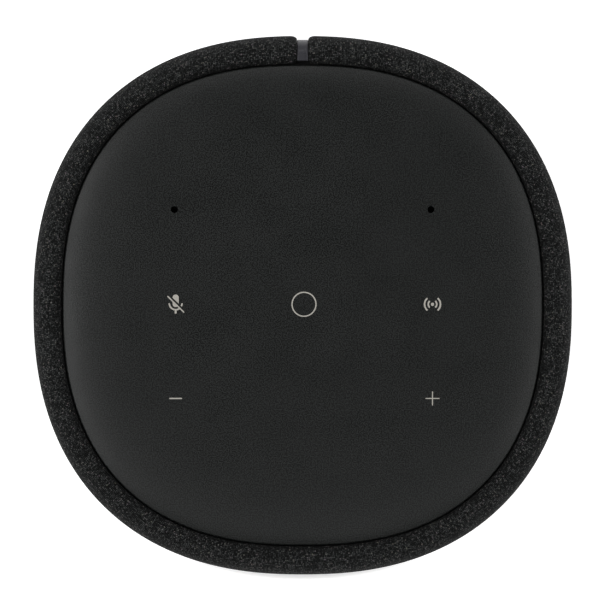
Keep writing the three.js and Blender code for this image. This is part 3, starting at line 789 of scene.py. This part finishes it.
def build_pairing_mark(x, y):
    """Generic wireless sign: a dot with two arcs on each side."""
    shapes = [circle(0.42 * MM, 28, x, y)]
    for radius in (1.3 * MM, 2.25 * MM):
        for facing in (0, 180):
            shapes.append(ring_outline(x, y, radius, 0.42 * MM, facing - 50, facing + 50, 24))
    mark("mark_pairing", shapes)


# ---- rear seam strip ----
SPINE_HALF, SPINE_RECESS, SPINE_DEPTH = spine_high.x, 1.0 * MM, 2.4 * MM
STRIP_END_HALF = 63.05 * MM


def build_seam_strip():
    levels = spread(spine_low.z, SHOULDER_Z, 44)
    width, rise = side_half(SHOULDER_Z) - SHOULDER_HALF, CREST - SHOULDER_Z
    edge = 0.28 * MM
    across = [(-SPINE_HALF, SPINE_DEPTH)]
    for step in range(5):
        angle = math.radians(90 * step / 4)
        drop = SPINE_RECESS + edge * (1 - math.sin(angle))
        across.append((-SPINE_HALF + edge * (1 - math.cos(angle)), drop))
    across += [(-x, depth) for x, depth in reversed(across)]

    def section(depth):
        points = [(side_half(z) - depth, z) for z in levels]
        points += arc((SHOULDER_HALF, SHOULDER_Z), width - depth, rise - depth, 0, 90, 18)
        return points + [(STRIP_END_HALF, CREST - depth)]

    rows = [[Vector((x, y, z)) for y, z in section(depth)] for x, depth in across]
    count, rounds = len(rows[0]), len(rows)
    vertices = [v for row in rows for v in row]
    faces = []
    for i in range(rounds):
        k = (i + 1) % rounds
        faces += [(i * count + j, k * count + j, k * count + j + 1, i * count + j + 1) for j in range(count - 1)]
    faces.append(tuple(i * count for i in range(rounds)))
    faces.append(tuple(i * count + count - 1 for i in reversed(range(rounds))))
    strip = new_piece("seam_strip", vertices, faces)
    stand_for(strip, "satin_plastic", "seam_spine")


# ---- base ----
def build_base():
    tray_half, rim = plate_high.x, 3.5 * MM
    floor_z = plate_low.z + 2.7 * MM
    profile = [(1 * MM, plate_low.z), (tray_half - 1 * MM, plate_low.z)]
    profile += arc((tray_half - 0.8 * MM, plate_low.z + 0.8 * MM), 0.8 * MM, 0.8 * MM, -75, 0, 5)
    profile += [(tray_half, plate_high.z), (tray_half - rim, plate_high.z)]
    profile += [(tray_half - rim, floor_z), (1 * MM, floor_z)]
    tray = disc_loft("base_tray", profile)
    cutters = []
    screws = [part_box(f"base_screw_{i}") for i in range(1, 5)]
    for low, high in screws:
        x, y = (low.x + high.x) / 2, (low.y + high.y) / 2
        cutters.append(prism("cutter", circle(3.6 * MM, 40, x, y), plate_low.z - 2 * MM, low.z + 1.6 * MM))
        cutters.append(prism("cutter", circle(1.9 * MM, 32, x, y), plate_low.z, plate_high.z))
    carve(tray, *cutters)
    stand_for(tray, "black_plastic", "base_plate")

    inner, outer, high = 45.4 * MM, foot_high.x, foot_high.z
    foot = [(outer, high), (inner, high)]
    foot += arc((inner + 0.6 * MM, 0.6 * MM), 0.6 * MM, 0.6 * MM, 180, 270, 5)
    foot += arc((outer - 0.6 * MM, 0.6 * MM), 0.6 * MM, 0.6 * MM, 270, 360, 5)
    stand_for(soft_loft("foot_ring", foot), "rubber", "rubber_foot")
    for i, (low, high) in enumerate(screws, 1):
        centre = Vector(((low.x + high.x) / 2, (low.y + high.y) / 2, low.z))
        screw = build_screw(f"base_bolt_{i}", centre, (0, 0, 1), high.z - low.z, 3.2 * MM, 1.5 * MM)
        stand_for(screw, "black_steel", f"base_screw_{i}")


def disc_loft(name, profile, columns=192):
    """Solid from a profile that starts and ends near the axis, closed by two caps."""
    rows = len(profile)
    vertices, faces = [], []
    for i in range(columns):
        angle = 2 * math.pi * i / columns
        vertices += [soft_point(half, angle, z) for half, z in profile]
    for i in range(columns):
        a, b = i * rows, (i + 1) % columns * rows
        faces += [(a + j, b + j, b + j + 1, a + j + 1) for j in range(rows - 1)]
    faces.append(tuple(i * rows for i in range(columns)))
    faces.append(tuple(i * rows + rows - 1 for i in reversed(range(columns))))
    return new_piece(name, vertices, faces)


def build_screw(name, head_point, into, length, head_radius, shank_radius):
    """Pan-head screw with a six-lobed socket; head_point is the top of the head."""
    head = 1.3 * MM
    profile = [(0.0, 0.0)]
    profile += [(head_radius - 0.5 * MM, 0.0)] + arc((head_radius - 0.5 * MM, 0.5 * MM), 0.5 * MM, 0.5 * MM, -60, 0, 4)
    profile += [(head_radius, head), (shank_radius, head)]
    turns = 7
    thread_low, thread_high = head + 1 * MM, length - 1.5 * MM
    for i in range(turns):
        z = thread_low + (thread_high - thread_low) * i / turns
        pitch = (thread_high - thread_low) / turns
        profile += [(shank_radius, z + 0.25 * pitch), (shank_radius * 0.78, z + 0.75 * pitch)]
    profile += [(shank_radius, thread_high), (0.0, length)]
    columns = 32
    vertices, faces = [], []
    rows = len(profile)
    for i in range(columns):
        angle = 2 * math.pi * i / columns
        vertices += [Vector((r * math.cos(angle), r * math.sin(angle), z)) for r, z in profile]
    for i in range(columns):
        a, b = i * rows, (i + 1) % columns * rows
        faces += [(a + j, b + j, b + j + 1, a + j + 1) for j in range(rows - 1)]
    turn = Vector((0, 0, 1)).rotation_difference(Vector(into)).to_matrix().to_4x4()
    move = Matrix.Translation(head_point) @ turn
    screw = new_piece(name, [move @ v for v in vertices], faces)
    weld(screw)
    lobes = []
    for i in range(48):
        angle = 2 * math.pi * i / 48
        radius = head_radius * (0.40 + 0.07 * math.cos(6 * angle))
        lobes.append((radius * math.cos(angle), radius * math.sin(angle)))
    socket = prism("cutter", lobes, -1 * MM, 0.85 * MM)
    socket.data.transform(move)
    carve(screw, socket)
    return screw


# ---- rear connector panel ----
def build_rear():
    z, front, back = (inlet_low.z + inlet_high.z) / 2, rear_high.y, rear_low.y
    plate = prism("rear_plate", rounded_box(rear_high.x, rear_low.z, rear_high.z, 4 * MM), back, front, "Y")
    bevel(plate, 0.5 * MM, 4)
    nose_half, nose_tall = 9 * MM, 5.5 * MM
    port_z = (port_low.z + port_high.z) / 2
    port_half, port_tall = port_high.x, (port_high.z - port_low.z) / 2
    gap = 0.3 * MM

    def pill(half_width, half_tall, level, low, high, name="cutter", steps=28):
        reach = half_width - half_tall
        outline = arc((reach, level), half_tall, half_tall, -90, 90, steps)
        outline += arc((-reach, level), half_tall, half_tall, 90, 270, steps)
        return prism(name, outline, low, high, "Y")

    carve(
        plate,
        pill(nose_half + gap, nose_tall + gap, z, back - 5 * MM, front + 5 * MM),
        pill(port_half + gap, port_tall + gap, port_z, back - 5 * MM, front + 5 * MM),
    )
    stand_for(plate, "satin_plastic", "connector_panel")

    mouth, floor_y = inlet_high.y, inlet_high.y - 12 * MM
    nose = pill(nose_half, nose_tall, z, inlet_low.y, mouth, "mains_inlet")
    bevel(nose, 0.3 * MM)
    cutters = [pill(nose_half - 1 * MM, nose_tall - 1 * MM, z, floor_y, mouth + 5 * MM)]
    for pin in ("inlet_pin_left", "inlet_pin_right"):
        low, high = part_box(pin)
        x = (low.x + high.x) / 2
        cutters.append(prism("cutter", circle(1.5 * MM, 32, x, z), floor_y - 5 * MM, floor_y + 1 * MM, "Y"))
        build_pin(f"mains_pin_{'left' if x < 0 else 'right'}", pin, x, z, low.y, high.y)
    carve(nose, *cutters)
    flange = pill(inlet_high.x, 8 * MM, z, back - gap - 2 * MM, back - gap, "inlet_flange")
    carve(flange, pill(nose_half + 0.02 * MM, nose_tall + 0.02 * MM, z, back - 9 * MM, back + 9 * MM))
    stand_for(nose, "black_plastic", "power_inlet")
    stand_for(flange, "black_plastic", "power_inlet")

    shell = pill(port_half, port_tall, port_z, port_low.y, port_high.y, "port_shell")
    hollow = pill(port_half - 0.4 * MM, port_tall - 0.4 * MM, port_z, port_low.y + 1 * MM, front + 5 * MM)
    carve(shell, hollow)
    tongue = prism(
        "port_tongue",
        rounded_box(port_half - 1.4 * MM, port_z - 0.35 * MM, port_z + 0.35 * MM, 0.2 * MM, 4),
        port_low.y + 1.1 * MM,
        port_high.y - 0.8 * MM,
        "Y",
    )
    stand_for(shell, "steel", "service_port")
    stand_for(tongue, "black_plastic", "service_port")


def build_pin(name, node, x, z, low, high):
    radius, columns = 1.2 * MM, 32
    profile = [(0.0, low), (radius, low), (radius, high - 0.9 * MM)]
    profile += arc((radius * 0.35, high - 0.9 * MM), radius * 0.65, 0.9 * MM, 15, 90, 6) + [(0.0, high)]
    rows = len(profile)
    vertices, faces = [], []
    for i in range(columns):
        angle = 2 * math.pi * i / columns
        vertices += [Vector((x + r * math.cos(angle), y, z + r * math.sin(angle))) for r, y in profile]
    for i in range(columns):
        a, b = i * rows, (i + 1) % columns * rows
        faces += [(a + j, b + j, b + j + 1, a + j + 1) for j in range(rows - 1)]
    pin = new_piece(name, vertices, faces)
    weld(pin)
    stand_for(pin, "brass", node)


# ---- CAD nodes that stay get their slot's material ----
def dress_nodes():
    slots = {row["node"]: row["material_slot"] for row in frame["record"]["subparts"]}
    for node, piece in frame["nodes"].items():
        piece.data.materials.clear()
        piece.data.materials.append(MATERIALS[slots[node]])


# ---- floor, light ----
FLOOR_GLOW = 0.75  # white acrylic table, lit from below; under and round the body its glow is faded out, a painted shade

# painted shadow on the floor in front of the body: inside this ellipse the floor's glow is cut away
FRONT_SHADE_CENTRE, FRONT_SHADE_SIZE = (0, -70 * MM, 0), (42 * MM, 14 * MM, 1)


def add_floor():
    outline = circle(3.0, 96)
    mesh = bpy.data.meshes.new("floor")
    mesh.from_pydata([(x, y, 0) for x, y in outline], [], [tuple(range(len(outline)))])
    floor = bpy.data.objects.new("floor", mesh)
    bpy.context.scene.collection.objects.link(floor)
    shader = Shader("floor", (0.9, 0.9, 0.9), 0.8, specular=0.2)
    cloud = shader.noise(shader.place(), 4, 2)
    shader.drive("Base Color", shader.blend(cloud, (0.89, 0.89, 0.89, 1), (0.91, 0.91, 0.91, 1)))
    shader.set("Emission Color", (1, 1, 1, 1))
    place = shader.place()
    from_centre = shader.node("ShaderNodeVectorMath", {0: place}, output=1, operation="LENGTH")
    # painted shade: the glow falls to almost nothing under the body and just round it
    glow_with_painted_shade = shader.remap(from_centre, 0.066, 0.084, 0.02, FLOOR_GLOW)
    # painted shadow: the glow drops to nothing inside an ellipse in front of the body
    moved = shader.node("ShaderNodeVectorMath", {0: place, 1: FRONT_SHADE_CENTRE}, operation="SUBTRACT")
    shaped = shader.node("ShaderNodeVectorMath", {0: moved, 1: FRONT_SHADE_SIZE}, operation="DIVIDE")
    reach = shader.node("ShaderNodeVectorMath", {0: shaped}, output=1, operation="LENGTH")
    shader.drive("Emission Strength", shader.math("MULTIPLY", glow_with_painted_shade, shader.remap(reach, 0.8, 1.0, 0.0, 1.0)))
    mesh.materials.append(shader.material)


# name, direction it comes from (degrees from +X), height above the horizon, distance, size, watts
SOFTBOXES = (
    ("left", 180, 54, 1.2, (1.0, 0.4), 6.0),
    ("right", 0, 54, 1.2, (1.0, 0.35), 3.4),
    ("front", 270, 66, 1.3, (1.0, 0.5), 2.1),
    ("rear", 90, 50, 1.3, (1.0, 0.3), 2.8),
)


def add_lights():
    aim = Vector((0, 0, 0.15))
    for name, azimuth, elevation, distance, size, watts in SOFTBOXES:
        data = bpy.data.lights.new(f"softbox_{name}", "AREA")
        data.shape = "RECTANGLE"
        data.size, data.size_y = size
        data.energy = watts
        light = bpy.data.objects.new(f"softbox_{name}", data)
        a, e = math.radians(azimuth), math.radians(elevation)
        away = Vector((math.cos(e) * math.cos(a), math.cos(e) * math.sin(a), math.sin(e)))
        light.location = aim + away * distance
        light.rotation_euler = (-away).to_track_quat("-Z", "Y").to_euler()
        light.visible_camera = False
        bpy.context.scene.collection.objects.link(light)


def add_world():
    """A light tent: white round the sides, open and dark overhead."""
    world = bpy.data.worlds.new("studio")
    bpy.context.scene.world = world
    world.use_nodes = True
    nodes, links = world.node_tree.nodes, world.node_tree.links
    direction = nodes.new("ShaderNodeTexCoord").outputs["Generated"]
    split = nodes.new("ShaderNodeSeparateXYZ")
    links.new(direction, split.inputs[0])
    fade = nodes.new("ShaderNodeMapRange")
    links.new(split.outputs["Z"], fade.inputs["Value"])
    for socket, value in (("From Min", 0.0), ("From Max", 0.65), ("To Min", 0.9), ("To Max", 0.05)):
        fade.inputs[socket].default_value = value
    background = nodes["Background"]
    background.inputs["Color"].default_value = (1, 1, 1, 1)
    links.new(fade.outputs["Result"], background.inputs["Strength"])
    bpy.context.scene.view_settings.view_transform = "Standard"
    bpy.context.scene.view_settings.look = "None"


dress_nodes()
build_sleeve()
build_top_cover()
build_marks()
build_seam_strip()
build_base()
build_rear()
add_floor()
add_lights()
add_world()
